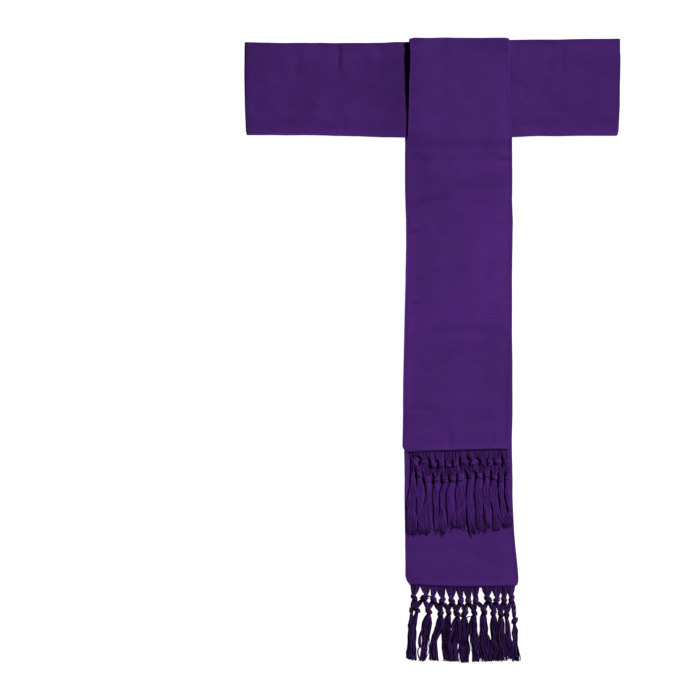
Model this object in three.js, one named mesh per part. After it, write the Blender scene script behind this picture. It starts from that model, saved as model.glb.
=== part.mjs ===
// A band cincture laid out flat: a waistband closed to a loop and pressed flat, and a tail strip folded
// over its front stretch, so that a short tail lies on a longer one. Each tail ends in a knotted fringe.
//
// Millimetres, +Z up. The garment rests on z = 0 with its origin in the middle of its box. +Y runs from
// the tails to the waistband, and +X runs along the waistband.

import * as THREE from "three";

// ----------------------------------------------------------------------------------- driving sizes

const WALL = 1.6; // doubled cloth with its stiffening
const GAP = 0.3; // air between two pieces that lie on each other
const LAYER = WALL + GAP;

const BAND_END = 201; // half the length of the flattened waistband loop
const TAILS_X = 28.5; // centre line of the tails, right of the middle of the waistband
const TAIL_TOP = 333.6; // outside of the turn over the waistband
const TURN_IN = 2; // straight cloth past a turn or a fold, up to the next piece
const HEM_GAP = 0.5; // between a bowed hem and its fringe
const FRINGE_LENGTH = 80; // under fringe, from the hem to the ends of its tassels
const FRONT_FRINGE_LENGTH = 86; // the same on the front tail, whose tassels are combed out straighter

// Height of the middle of each layer. Where all four lie on each other, they are the waistband's back
// stretch, the under tail, the waistband's front stretch and the front tail.
const LEVEL = [0, 1, 2, 3].map((layer) => layer * LAYER + WALL / 2);

// The waistband's two long edges, by place along it.
const BAND_EDGES = [
  { x: -BAND_END, low: 231.0, high: 329.4 },
  { x: -130, low: 231.0, high: 328.8 },
  { x: -80, low: 230.0, high: 328.6 },
  { x: -30, low: 228.0, high: 329.4 },
  { x: 84, low: 228.6, high: 331.2 },
  { x: 112, low: 229.8, high: 331.8 },
  { x: 140, low: 229.8, high: 332.6 },
  { x: BAND_END, low: 229.8, high: 332.6 },
];

// How far the two end folds of the waistband reach, by height up the strip.
const BAND_ENDS = [
  { y: 228, left: 197.6, right: 198.2 },
  { y: 234, left: 199.4, right: 199.6 },
  { y: 260, left: 200.4, right: 200.6 },
  { y: 293, left: 201.0, right: 200.9 },
  { y: 333, left: 200.4, right: 200.9 },
];

// The tails' long edges, from their own centre line. The last two rows are the blunted corners at the hem.
const FRONT_EDGES = [
  { y: TAIL_TOP, left: -52.6, right: 53.6 },
  { y: 228, left: -54.4, right: 56.0 },
  { y: 160, left: -56.2, right: 56.7 },
  { y: 47, left: -57.9, right: 56.6 },
  { y: -56, left: -59.6, right: 55.0 },
  { y: -102, left: -60.2, right: 53.6 },
  { y: -108, left: -57.2, right: 53.4 },
];
const UNDER_EDGES = [
  { y: TAIL_TOP, left: -52.6, right: 53.6 },
  { y: 300, left: -57.0, right: 56.4 },
  { y: 228, left: -57.8, right: 56.8 },
  { y: -95, left: -58.3, right: 56.8 },
  { y: -158, left: -58.2, right: 57.2 },
  { y: -197, left: -57.5, right: 59.3 },
  { y: -242, left: -57.1, right: 63.1 },
  { y: -247, left: -55.6, right: 62.6 },
  { y: -251, left: -52.8, right: 59.8 },
];

// Hem lines: height at the ends, tilt from the middle to the right end, and sag at the middle.
const FRONT_HEM = { y: -108, tilt: 1.4, sag: 0 };
const UNDER_HEM = { y: -251, tilt: -1.0, sag: 2.6 };
const HEM_HALF = 57;

// Where the layers step down past what they lie on.
const BAND_STEP = { leftFrom: -31, leftTo: -43, rightFrom: 87, rightTo: 99 };
const FRONT_STEP = { from: 227, to: 203 };
const UNDER_STEP = { from: 227, to: 210 };

// The front tail's free left edge stands off the waistband, most at the turn, and not at all below the band.
const LIFT = { height: 4.0, reach: 0.36, fadeTo: 224 };

// Soft swells across the front tail: place, height and half width.
const SWELLS = [
  { y: 186, rise: 0.9, half: 11 },
  { y: 20, rise: 0.7, half: 16 },
  { y: -62, rise: 0.6, half: 14 },
];

// Plain solids of the fringes' reach, row by row down from the hem.
const UNDER_FRINGE = [
  { drop: HEM_GAP, left: -51.4, right: 59.8, thick: 2.0 },
  { drop: 13, left: -51.4, right: 60.6, thick: 5.0 },
  { drop: 32, left: -53.0, right: 62.0, thick: 5.0 },
  { drop: 42, left: -54.0, right: 63.0, thick: 3.8 },
  { drop: FRINGE_LENGTH, left: -55.6, right: 65.0, thick: 2.8 },
];
const FRONT_FRINGE = [
  { drop: HEM_GAP, left: -51.4, right: 52.6, thick: 2.0 },
  { drop: 13, left: -51.4, right: 53.0, thick: 5.0 },
  { drop: 32, left: -53.0, right: 54.0, thick: 5.0 },
  { drop: 42, left: -54.0, right: 54.6, thick: 3.8 },
  { drop: FRONT_FRINGE_LENGTH, left: -57.0, right: 55.6, thick: 2.8 },
];

// ------------------------------------------------------------------------------------- small maths

const mix = (from, to, share) => from + (to - from) * share;
const clamp01 = (value) => Math.min(1, Math.max(0, value));
const ease = (share) => share * share * (3 - 2 * share);

/** A column of a table at a place along its key column, straight between the rows. */
function lookUp(rows, key, at, column) {
  const sorted = rows[0][key] < rows[rows.length - 1][key] ? rows : [...rows].reverse();
  const next = sorted.findIndex((row) => row[key] >= at);
  if (next === 0) return sorted[0][column];
  if (next < 0) return sorted[sorted.length - 1][column];
  const before = sorted[next - 1];
  const after = sorted[next];
  return mix(before[column], after[column], (at - before[key]) / (after[key] - before[key]));
}

/** Height of a hem line at a place across the tail. */
function hemLine(hem, x) {
  const across = x / HEM_HALF;
  return hem.y + hem.tilt * across - hem.sag * (1 - across * across);
}

// ------------------------------------------------------------------------------------ cloth solids

/** A closed mesh of an upper and a lower grid, with points pointAt(row, column, side), joined at the rims. */
function closedGrid(rowCount, columnCount, pointAt) {
  const positions = [];
  for (const side of [1, -1]) {
    for (let row = 0; row < rowCount; row++) {
      for (let column = 0; column < columnCount; column++) {
        positions.push(...pointAt(row, column, side));
      }
    }
  }
  const lower = rowCount * columnCount;
  const vertex = (row, column) => row * columnCount + column;
  const index = [];
  const quad = (a, b, c, d) => index.push(a, b, c, a, c, d);
  for (let row = 0; row + 1 < rowCount; row++) {
    for (let column = 0; column + 1 < columnCount; column++) {
      const [a, b] = [vertex(row, column), vertex(row, column + 1)];
      const [c, d] = [vertex(row + 1, column + 1), vertex(row + 1, column)];
      quad(a, b, c, d);
      quad(lower + d, lower + c, lower + b, lower + a);
    }
  }
  const rim = [];
  for (let column = 0; column < columnCount; column++) rim.push(vertex(0, column));
  for (let row = 1; row < rowCount; row++) rim.push(vertex(row, columnCount - 1));
  for (let column = columnCount - 2; column >= 0; column--) rim.push(vertex(rowCount - 1, column));
  for (let row = rowCount - 2; row > 0; row--) rim.push(vertex(row, 0));
  rim.forEach((here, place) => {
    const next = rim[(place + 1) % rim.length];
    quad(next, here, lower + here, lower + next);
  });
  return facingOut(positions, index);
}

/** The geometry of a closed mesh, turned so that its faces point out. */
function facingOut(positions, index) {
  const point = (vertex) => new THREE.Vector3().fromArray(positions, vertex * 3);
  let volume = 0;
  for (let i = 0; i < index.length; i += 3) {
    volume += point(index[i]).dot(point(index[i + 1]).cross(point(index[i + 2])));
  }
  const geometry = new THREE.BufferGeometry();
  geometry.setAttribute("position", new THREE.Float32BufferAttribute(positions, 3));
  geometry.setIndex(volume < 0 ? index.reverse() : index);
  geometry.computeVertexNormals();
  return geometry;
}

/** The middle line of a strip seen edge on, through [along, height] rows, eased from level to level. */
function steppedLine(rows, piece) {
  const line = [rows[0]];
  for (let row = 1; row < rows.length; row++) {
    const [fromAlong, fromHeight] = rows[row - 1];
    const [toAlong, toHeight] = rows[row];
    const steps = toHeight === fromHeight ? Math.ceil(Math.abs(toAlong - fromAlong) / piece) : 6;
    for (let step = 1; step <= steps; step++) {
      const share = step / steps;
      line.push([mix(fromAlong, toAlong, share), mix(fromHeight, toHeight, ease(share))]);
    }
  }
  return line;
}

/** Half a turn at the end of a strip, between two heights, bulging by `way` along it. */
function halfTurn(along, fromHeight, toHeight, way, steps) {
  const radius = (fromHeight - toHeight) / 2;
  const points = [];
  for (let step = 1; step <= steps; step++) {
    const angle = (Math.PI * step) / steps;
    const out = way * Math.abs(radius) * Math.sin(angle);
    points.push([along + out, (fromHeight + toHeight) / 2 + radius * Math.cos(angle)]);
  }
  return points;
}

/** The line's points moved out to one face of the wall: side 1 is the face on the left as it runs. */
function offsetLine(line, side) {
  return line.map(([along, height], place) => {
    const before = line[Math.max(0, place - 1)];
    const after = line[Math.min(line.length - 1, place + 1)];
    const run = after[0] - before[0];
    const rise = after[1] - before[1];
    const length = Math.hypot(run, rise);
    return [along - (side * WALL * rise) / length / 2, height + (side * WALL * run) / length / 2];
  });
}

/** A wall of cloth on a middle line: place(along, height, share of the width, middle height) is a point. */
function clothWall(line, shares, place) {
  const faces = { 1: offsetLine(line, 1), [-1]: offsetLine(line, -1) };
  return closedGrid(line.length, shares.length, (row, column, side) => {
    const [along, height] = faces[side][row];
    return place(along, height, shares[column], line[row][1]);
  });
}

// --------------------------------------------------------------------------------------- waistband

const BAND_SHARES = [0, 0.05, 0.3, 0.62, 1];
const BAND_TURN = BAND_END - LAYER / 2 - WALL / 2; // middle of the end folds
const BAND_SEAM = TAILS_X; // where the front stretch's two ends meet, hidden between the tails

/** A point of the waistband: its edges give the width, and its ends keep to the shape of the folds. */
function bandPoint(along, height, share) {
  const low = lookUp(BAND_EDGES, "x", along, "low");
  const high = lookUp(BAND_EDGES, "x", along, "high");
  const y = mix(low, high, share);
  const reach = lookUp(BAND_ENDS, "y", y, along < 0 ? "left" : "right") / BAND_END;
  return [along * reach, y, height];
}

function waistFront(way, stepFrom, stepTo) {
  const line = steppedLine(
    [
      [BAND_SEAM + (way * GAP) / 2, LEVEL[2]],
      [stepFrom, LEVEL[2]],
      [stepTo, LEVEL[1]],
      [way * BAND_TURN, LEVEL[1]],
    ],
    16,
  );
  line.push(...halfTurn(way * BAND_TURN, LEVEL[1], LEVEL[0], way, 6));
  line.push([way * (BAND_TURN - TURN_IN), LEVEL[0]]);
  return clothWall(line, BAND_SHARES, bandPoint);
}

function waistBack() {
  const end = BAND_TURN - TURN_IN - GAP;
  const line = steppedLine([[-end, LEVEL[0]], [end, LEVEL[0]]], 24);
  return clothWall(line, BAND_SHARES, bandPoint);
}

// ------------------------------------------------------------------------------------------- tails

const TAIL_SHARES = [0, 0.07, 0.15, 0.25, 0.36, 0.55, 0.78, 1];
const TURN_RADIUS = LEVEL[3] / 2 - LEVEL[1] / 2; // of the middle of the wall, in the turn over the waistband
const TURN_Y = TAIL_TOP - TURN_RADIUS - WALL / 2;

/** A point of a tail before its own lift, with the whole length drawn to the hem line. */
function tailPoint(edges, hem, y, height, share) {
  const x = mix(lookUp(edges, "y", y, "left"), lookUp(edges, "y", y, "right"), share);
  const drawn = (hemLine(hem, x) - hem.y) * clamp01((TURN_Y - y) / (TURN_Y - hem.y));
  return [x, y + drawn, height];
}

/** How much higher than level the front tail's left edge stands, as a share of the turn's own height. */
function liftAt(y, share) {
  const alongFade = ease(clamp01((y - LIFT.fadeTo) / (TURN_Y - LIFT.fadeTo)));
  const acrossFade = ease(1 - clamp01(share / LIFT.reach));
  return (LIFT.height * alongFade * acrossFade) / (LEVEL[3] - LEVEL[1]);
}

/** Height that the soft swells add to the front tail. */
function swellAt(y) {
  return SWELLS.reduce((sum, row) => sum + row.rise * Math.exp(-(((y - row.y) / row.half) ** 2)), 0);
}

function tailFront() {
  const turn = halfTurn(TURN_Y, LEVEL[1], LEVEL[3], 1, 8);
  const down = steppedLine(
    [
      [TURN_Y, LEVEL[3]],
      [FRONT_STEP.from, LEVEL[3]],
      [FRONT_STEP.to, LEVEL[1]],
      [FRONT_HEM.y + 6, LEVEL[1]],
      [FRONT_HEM.y, LEVEL[1]],
    ],
    11,
  );
  const line = [[TURN_Y - TURN_IN, LEVEL[1]], [TURN_Y, LEVEL[1]], ...turn, ...down.slice(1)];
  return clothWall(line, TAIL_SHARES, (y, height, share, middle) => {
    const lifted = height + (middle - LEVEL[1]) * liftAt(y, share) + swellAt(y);
    return tailPoint(FRONT_EDGES, FRONT_HEM, y, lifted, share);
  });
}

function tailUnder() {
  const line = steppedLine(
    [
      [TURN_Y - TURN_IN - GAP, LEVEL[1]],
      [UNDER_STEP.from, LEVEL[1]],
      [UNDER_STEP.to, LEVEL[0]],
      [-242, LEVEL[0]],
      [-247, LEVEL[0]],
      [UNDER_HEM.y, LEVEL[0]],
    ],
    22,
  );
  return clothWall(line, TAIL_SHARES, (y, height, share) =>
    tailPoint(UNDER_EDGES, UNDER_HEM, y, height, share),
  );
}

// ----------------------------------------------------------------------------------------- fringes

const FRINGE_SHARES = [0, 0.25, 0.5, 0.75, 1];

/** The plain solid of a fringe's reach: it starts at the hem line and lies on `rest`. */
function fringe(rows, hem, rest) {
  return closedGrid(rows.length, FRINGE_SHARES.length, (row, column, side) => {
    const { drop, left, right, thick } = rows[row];
    const x = mix(left, right, FRINGE_SHARES[column]);
    return [x, hemLine(hem, x) - drop, side > 0 ? rest + thick : rest];
  });
}

// ---------------------------------------------------------------------------------------- assembly

const cloth = new THREE.MeshStandardMaterial({ color: 0x45236b, roughness: 0.9, metalness: 0 });
const yarn = new THREE.MeshStandardMaterial({ color: 0x3c1d5e, roughness: 0.85, metalness: 0 });

function piece(name, geometry, material) {
  const mesh = new THREE.Mesh(geometry, material);
  mesh.name = name;
  return mesh;
}

const waistband = new THREE.Group();
waistband.add(
  piece("waist_back", waistBack(), cloth),
  piece("waist_left", waistFront(-1, BAND_STEP.leftFrom, BAND_STEP.leftTo), cloth),
  piece("waist_right", waistFront(1, BAND_STEP.rightFrom, BAND_STEP.rightTo), cloth),
);

const tails = new THREE.Group();
tails.position.x = TAILS_X;
tails.add(
  piece("tail_under", tailUnder(), cloth),
  piece("tail_front", tailFront(), cloth),
  piece("fringe_under", fringe(UNDER_FRINGE, UNDER_HEM, 0), yarn),
  piece("fringe_front", fringe(FRONT_FRINGE, FRONT_HEM, LAYER), yarn),
);

const cincture = new THREE.Group();
cincture.add(waistband, tails);

export default cincture;
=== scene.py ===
"""Looks of a band cincture laid out flat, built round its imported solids.

The waistband is a closed loop pressed flat, and the tail strip is folded over its front stretch, so that
a short tail lies on a longer one. Both tails end in a knotted fringe. Tables are in millimetres in the
frame's axes, and add_mesh() turns them to metres.
"""

import math
from collections import namedtuple

import bpy
import numpy as np
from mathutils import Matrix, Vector


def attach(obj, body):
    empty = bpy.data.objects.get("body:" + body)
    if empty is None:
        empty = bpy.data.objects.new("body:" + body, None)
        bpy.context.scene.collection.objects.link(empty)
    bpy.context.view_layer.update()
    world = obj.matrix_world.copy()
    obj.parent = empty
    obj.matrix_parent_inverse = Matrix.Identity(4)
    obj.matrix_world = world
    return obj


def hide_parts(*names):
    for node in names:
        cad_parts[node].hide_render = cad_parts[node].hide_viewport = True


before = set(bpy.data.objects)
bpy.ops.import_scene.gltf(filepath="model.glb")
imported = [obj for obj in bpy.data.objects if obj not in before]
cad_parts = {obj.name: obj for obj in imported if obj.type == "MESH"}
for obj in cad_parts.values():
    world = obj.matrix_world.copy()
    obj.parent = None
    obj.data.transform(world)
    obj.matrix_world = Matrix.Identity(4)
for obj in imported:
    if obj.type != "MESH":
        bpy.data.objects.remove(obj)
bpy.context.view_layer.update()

MM = 0.001


def add_object(name, data):
    made = bpy.data.objects.new(name, data)
    bpy.context.scene.collection.objects.link(made)
    return made


# --- camera ---

LENS = 85
SENSOR = 36
VIEW_WIDTH = 0.749  # metres, like the next
VIEW_CENTRE_X = -0.0876


def make_camera():
    """Straight down on the garment, which lies to the right of the middle of the picture."""
    data = bpy.data.cameras.new("camera")
    data.lens = LENS
    data.sensor_width = SENSOR
    camera = add_object("camera", data)
    camera.location = (VIEW_CENTRE_X, 0, VIEW_WIDTH * LENS / SENSOR)
    bpy.context.scene.camera = camera


make_camera()

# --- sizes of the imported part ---

WALL = 1.6  # doubled cloth with its stiffening
GAP = 0.3  # air between two pieces that lie on each other
LAYER = WALL + GAP
LEVEL = [layer * LAYER + WALL / 2 for layer in range(4)]  # middle of each layer

BAND_END = 201  # half the length of the flattened waistband loop
TAILS_X = 28.5  # centre line of the tails
TAIL_TOP = 333.6  # outside of the turn over the waistband
TURN_IN = 2  # straight cloth past the turn

# The waistband's two long edges, by place along it.
BAND_EDGES = [
    # x, low, high
    (-201, 229.8, 329.2),
    (-172, 230, 328.7),
    (-130, 229.2, 327.9),
    (-80, 228.3, 328.1),
    (-30, 226.8, 328.7),
    (84, 227.4, 331.2),
    (112, 228.6, 331.6),
    (140, 228.8, 332.2),
    (201, 228.8, 332.6),
]
# How far the two end folds of the waistband reach, by height up the strip.
BAND_ENDS = [
    # y, left, right
    (228, 197.5, 198),
    (234, 199, 199.6),
    (260, 200.1, 200.9),
    (293, 200.7, 201.2),
    (333, 200.3, 201.3),
]
# The tails' long edges, from their own centre line, with blunted corners at the hem.
FRONT_EDGES = [
    # y, left, right
    (333.6, -53.4, 53.5),
    (329.5, -53.3, 53.6),
    (326.5, -52.5, 53.6),
    (300, -52.2, 54),
    (246, -53.5, 55.6),
    (228, -54.3, 56.5),
    (221, -57, 56.9),
    (158, -57, 57.2),
    (140, -56.1, 58.2),
    (94, -56.5, 57.2),
    (56, -57.3, 57),
    (24, -58.5, 56.8),
    (-56, -59.7, 54.8),
    (-102, -60.3, 53.4),
    (-107.2, -57.2, 53.2),
]
UNDER_EDGES = [
    # y, left, right
    (333.6, -52.6, 53.6),
    (300, -56.6, 56.4),
    (228, -57.4, 57.2),
    (158, -57.2, 57.3),
    (140, -56, 58.1),
    (94, -56.4, 57.3),
    (24, -58, 57.3),
    (-44, -58.2, 57.7),
    (-95, -58, 57.4),
    (-158, -57.9, 57.9),
    (-197, -57.1, 59.9),
    (-242, -57, 64.2),
    (-247, -55.8, 64),
    (-251, -53, 62.8),
]

# Hem lines: height at the ends, tilt from the middle to the right end, and sag at the middle.
Hem = namedtuple("Hem", "y tilt sag")
FRONT_HEM = Hem(-107.2, 1.4, 0)
UNDER_HEM = Hem(-251, -1.0, 2.0)
HEM_HALF = 57

# The front tail's free left edge stands off the waistband, most at the turn.
LIFT_HEIGHT = 5.4
LIFT_REACH = 0.36
LIFT_FADE_TO = 214
# Its turned top edge: tilt from the middle, drop, and how much its corners are blunted.
TOP_TILT = 0.010
TOP_DROP = 0.3
TOP_BLUNTING = 1.0
TOP_FROM = 324
# Where it rises a little off the longer tail.
SWELLS = [
    # y, rise, half width
    (186, 0.9, 11),
    (20, 0.7, 16),
    (-62, 0.6, 14),
]

# --- materials ---


class Nodes:
    """Adds nodes to one shader tree. Their inputs take sockets or plain values."""

    def __init__(self, tree):
        self.tree = tree

    def feed(self, node, inputs):
        for place, value in inputs.items():
            if isinstance(value, bpy.types.NodeSocket):
                self.tree.links.new(value, node.inputs[place])
            else:
                node.inputs[place].default_value = value

    def add(self, kind, inputs, **settings):
        """The outputs of a new node."""
        made = self.tree.nodes.new(kind)
        for name, value in settings.items():
            setattr(made, name, value)
        self.feed(made, inputs)
        return made.outputs

    def calc(self, operation, *values):
        """The result of a Math node, or of a chain of them where there are more than two values."""
        *before, last = values
        if len(before) > 1:
            before = [self.calc(operation, *before)]
        return self.add("ShaderNodeMath", dict(enumerate([*before, last])), operation=operation)[0]

    def times(self, *values):
        return self.calc("MULTIPLY", *values)

    def plus(self, *values):
        return self.calc("ADD", *values)

    def noise(self, place, scale, detail=2.0, roughness=0.5):
        inputs = {"Vector": place, "Scale": scale, "Detail": detail, "Roughness": roughness}
        return self.add("ShaderNodeTexNoise", inputs)["Fac"]

    def swing(self, value, low, high, start=0.0, stop=1.0):
        """A value that runs from start to stop, spread over another range."""
        inputs = {"Value": value, "From Min": start, "From Max": stop, "To Min": low, "To Max": high}
        return self.add("ShaderNodeMapRange", inputs)["Result"]

    def attribute(self, name):
        return self.add("ShaderNodeAttribute", {}, attribute_name=name)["Fac"]

    def lay(self):
        """The map that is laid out in real sizes, and its two directions."""
        lay = self.add("ShaderNodeUVMap", {}, uv_map="lay")["UV"]
        first, second, _ = self.add("ShaderNodeSeparateXYZ", {0: lay})
        return lay, first, second

    def lit(self, colour, light):
        return self.add("ShaderNodeHueSaturation", {"Value": light, "Color": colour})[0]

    def bump(self, height, strength):
        inputs = {"Height": height, "Strength": strength, "Distance": BUMP_DEPTH}
        return self.add("ShaderNodeBump", inputs)[0]


def new_material(name):
    material = bpy.data.materials.new(name)
    material.use_nodes = True
    tree = material.node_tree
    return material, Nodes(tree), tree.nodes["Principled BSDF"]


THREAD = 0.36 * MM  # from thread to thread of the weave
BUMP_DEPTH = 0.10 * MM
CLOTH_COLOUR = (0.0440, 0.0104, 0.1050, 1)
YARN_COLOUR = (0.0500, 0.0088, 0.1240, 1)
THREAD_COLOUR = (0.0640, 0.0168, 0.1440, 1)
LINT_COLOUR = (0.45, 0.40, 0.50, 1)
SHEEN_TINT = (0.55, 0.40, 0.75, 1)
WHITE = (1, 1, 1, 1)


def cloth_material():
    """Plain weave of spun thread: its map runs across and along the strip in metres."""
    material, nodes, shader = new_material("purple_cloth")
    lay, across, along = nodes.lay()
    over, under = (nodes.calc("SINE", nodes.times(way, math.pi / THREAD)) for way in (across, along))
    weave = nodes.calc("SQRT", nodes.calc("ABSOLUTE", nodes.times(over, under)))
    slubs = nodes.plus(*(
        nodes.noise(nodes.add("ShaderNodeMapping", {"Vector": lay, "Scale": scale})[0], 1.0)
        for scale in ((1800, 90, 1), (110, 2000, 1))
    ))
    speckle = nodes.noise(lay, 900, 3.0, 0.7)
    mottle = nodes.noise(lay, 60, 3.0, 0.55)
    blotch = nodes.noise(lay, 14, 1.0)
    light = nodes.times(
        nodes.swing(speckle, 0.34, 1.66),
        nodes.swing(mottle, 0.86, 1.14),
        nodes.swing(blotch, 0.94, 1.06),
        nodes.swing(nodes.times(slubs, 0.5), 0.82, 1.18),
        nodes.swing(weave, 0.92, 1.06),
    )
    # The rim lightens each edge's crest as rubbed wear and darkens its stitched groove as painted shade; the
    # last value is slow random tone with painted light and shade.
    light = nodes.plus(light, nodes.times(nodes.attribute("rim"), 0.04), nodes.attribute("nap"))
    lint = nodes.swing(nodes.noise(lay, 640, 1.0), 0.0, 0.6, start=0.83, stop=0.87)
    mix = {0: lint, 6: nodes.lit(CLOTH_COLOUR, light), 7: LINT_COLOUR}
    height = nodes.plus(weave, nodes.times(slubs, 0.7), nodes.times(speckle, 0.5))
    nodes.feed(shader, {
        "Base Color": nodes.add("ShaderNodeMix", mix, data_type="RGBA")[2],
        "Normal": nodes.bump(height, 0.40),
        "Roughness": nodes.swing(speckle, 0.95, 0.78),
        "Specular IOR Level": 0.06,
        "Sheen Weight": 0.01,
        "Sheen Roughness": 0.5,
        "Sheen Tint": SHEEN_TINT,
    })
    return material


def yarn_material(name, colour, ply, pitch):
    """Twisted yarn: its map runs round a strand, 0 to 1, and along it in metres."""
    material, nodes, shader = new_material(name)
    _, around, along = nodes.lay()
    tint = nodes.attribute("tint")
    turns = nodes.plus(nodes.times(around, ply), nodes.calc("DIVIDE", along, pitch), nodes.times(tint, 9.0))
    wave = nodes.calc("SINE", nodes.times(turns, 2 * math.pi))
    place = nodes.add("ShaderNodeTexCoord", {})["Object"]
    fibres = nodes.noise(place, 2600, 3.0, 0.7)
    patches = nodes.noise(place, 160, 2.0)
    light = nodes.times(
        nodes.swing(tint, 0.06, 1.60),
        nodes.swing(fibres, 0.75, 1.25),
        nodes.swing(patches, 0.90, 1.10),
    )
    # In the colour, the twist's wave darkens the grooves between plies a little as painted shade, and the
    # tint brings random tone with painted shade.
    nodes.feed(shader, {
        "Base Color": nodes.lit(colour, nodes.plus(light, nodes.times(wave, 0.05))),
        "Normal": nodes.bump(nodes.plus(wave, nodes.times(fibres, 0.6)), 0.45),
        "Roughness": nodes.swing(fibres, 0.62, 0.85),
        "Specular IOR Level": 0.1,
        "Sheen Weight": 0.02,
        "Sheen Roughness": 0.45,
        "Sheen Tint": SHEEN_TINT,
    })
    return material


CLOTH = cloth_material()
YARN = yarn_material("purple_yarn", YARN_COLOUR, ply=2, pitch=2.4 * MM)
SEWING = yarn_material("sewing_thread", THREAD_COLOUR, ply=3, pitch=0.8 * MM)

# --- small maths ---


def ease(share):
    share = np.clip(share, 0, 1)
    return share * share * (3 - 2 * share)


def hill(distance, centre, half):
    return np.exp(-(((distance - centre) / half) ** 2))


def look_up(rows, at, column):
    """A column of a table at places along its first column, straight between the rows."""
    table = np.array(sorted(rows))
    return np.interp(at, table[:, 0], table[:, column])


def hem_line(hem, x):
    """Height of a hem line at a place across the tail."""
    across = x / HEM_HALF
    return hem.y + hem.tilt * across - hem.sag * (1 - across**2)


def ripple(seed, wavelength, x, y=0.0, waves=9):
    """Smooth unevenness with a spread of about one: mixed waves in all directions near one length."""
    draw = np.random.default_rng(seed)
    total = 0
    for _ in range(waves):
        turn = draw.uniform(0, 2 * math.pi)
        length = wavelength * draw.uniform(0.65, 1.5)
        phase = draw.uniform(0, 2 * math.pi)
        onward = x * math.cos(turn) + y * math.sin(turn)
        total = total + np.sin(2 * math.pi * onward / length + phase)
    return total / math.sqrt(waves / 2)


def circle(count):
    """Angles round a full turn, one in each row."""
    return 2 * math.pi * np.arange(count)[:, None] / count


def running_length(points):
    """How far each point lies along its row of points."""
    gone = np.cumsum(np.linalg.norm(np.diff(points, axis=-2), axis=-1), axis=-1)
    return np.concatenate([np.zeros_like(gone[..., :1]), gone], axis=-1)


def stacked(*coordinates):
    return np.stack(np.broadcast_arrays(*coordinates), -1)


def unit(vectors):
    return vectors / np.maximum(np.linalg.norm(vectors, axis=-1, keepdims=True), 1e-9)


# --- mesh building ---


def add_mesh(name, points, faces, material, maps, **values):
    """A smooth mesh, from points in millimetres and lists of corners. maps holds each map's place
    for every corner in turn, and values a number for every point."""
    mesh = bpy.data.meshes.new(name)
    corners = [face for group in faces for face in group.tolist()]
    mesh.from_pydata((points * MM).tolist(), [], corners, shade_flat=False)
    for map_name, places in maps.items():
        layer = mesh.uv_layers.new(name=map_name)
        layer.uv.foreach_set("vector", np.asarray(places, np.float32).ravel())
    for value_name, numbers in values.items():
        attribute = mesh.attributes.new(value_name, "FLOAT", "POINT")
        attribute.data.foreach_set("value", np.asarray(numbers, np.float32).ravel())
    mesh.materials.append(material)
    return add_object(name, mesh)


def wear(piece, slot, *nodes):
    """The piece rides on the garment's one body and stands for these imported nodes."""
    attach(piece, "root")
    if nodes:
        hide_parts(*nodes)
    return piece


# --- cloth ---

STITCH_INSET = 2.8  # from a long edge to its topstitching
STITCH_PITCH = 2.8
STITCH_SIZE = 0.17  # radius of the sewing thread
STITCH_RISE = 0.20  # of a stitch's middle over its ends
# Distances from an edge at which its roll, its groove and the flat cloth past them need a line of points.
EDGE_STEPS = [0, 0.1, 0.35, 0.75, 1.3, 1.9, 2.4, 2.8, 3.2, 3.8, 4.8, 6.2, 8.0]
EDGE_DEPTH = 9.6  # where the even spacing starts
FINE = 1.7  # spacing of points where the cloth shows
COARSE = 9.0
FAR = 99.0  # more than any distance or height that matters
PRESSING = 0.85  # how much thinner the iron left the edges
UNDER_GROOVE = 0.10  # depth of the stitched groove on the sides that lie below


def run_to(line, *stops):
    """Carries a middle line on to places at heights, in steps of a spacing, easing between heights."""
    for along, height, spacing in stops:
        from_along, from_height = line[-1]
        steps = max(1, math.ceil(abs(along - from_along) / spacing))
        for share in np.arange(1, steps + 1) / steps:
            line.append((
                from_along + (along - from_along) * share,
                from_height + (height - from_height) * float(ease(share)),
            ))


def turn_to(line, height, way, steps=10):
    """Carries a middle line round half a turn to another height, bulging by `way` along the strip."""
    along, from_height = line[-1]
    radius = (from_height - height) / 2
    for angle in math.pi * np.arange(1, steps + 1) / steps:
        out = way * abs(radius) * math.sin(angle)
        line.append((along + out, (from_height + height) / 2 + radius * math.cos(angle)))


def edge_rows(line, way):
    """Carries a middle line over its last stretch, to an open end, in edge steps."""
    along, height = line[-1]
    for step in reversed(EDGE_STEPS):
        line.append((along + way * (EDGE_DEPTH - step), height))


def start_at_edge(along, height, way):
    """A middle line that starts at an open end, in edge steps, and runs by `way`."""
    return [(along + way * step, height) for step in EDGE_STEPS]


def width_between(edges):
    """The width of a strip at places along it."""
    return lambda along: look_up(edges, along, 2) - look_up(edges, along, 1)


def rounded(distance):
    """Share of the wall's thickness at a distance from an open edge."""
    return np.sqrt(np.clip(1 - (1 - np.clip(distance / (WALL / 2), 0, 1)) ** 2, 0, 1))


def groove(inset, depth):
    return -depth * hill(inset, STITCH_INSET, 0.5)


def edge_roll(inset, along, seed, pressing=PRESSING):
    """Height of a pressed edge: thin, with a soft uneven roll and the groove that its stitching pulls in."""
    uneven = 1 + 0.35 * ripple(seed, 8, along) + 0.3 * ripple(seed + 1, 31, along)
    return 0.07 * hill(inset, 1.35, 0.8) * uneven + groove(inset, 0.04) - pressing * (1 - ease(inset / 20))


# A crease's or a mark's middle, its length and angle, its rise, its width and how far it bows.
Crease = namedtuple("Crease", "x y length angle rise width bow", defaults=[0])
CREASE_DEPTH = 1.9  # of every crease, as a share of the tables' rises


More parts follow.
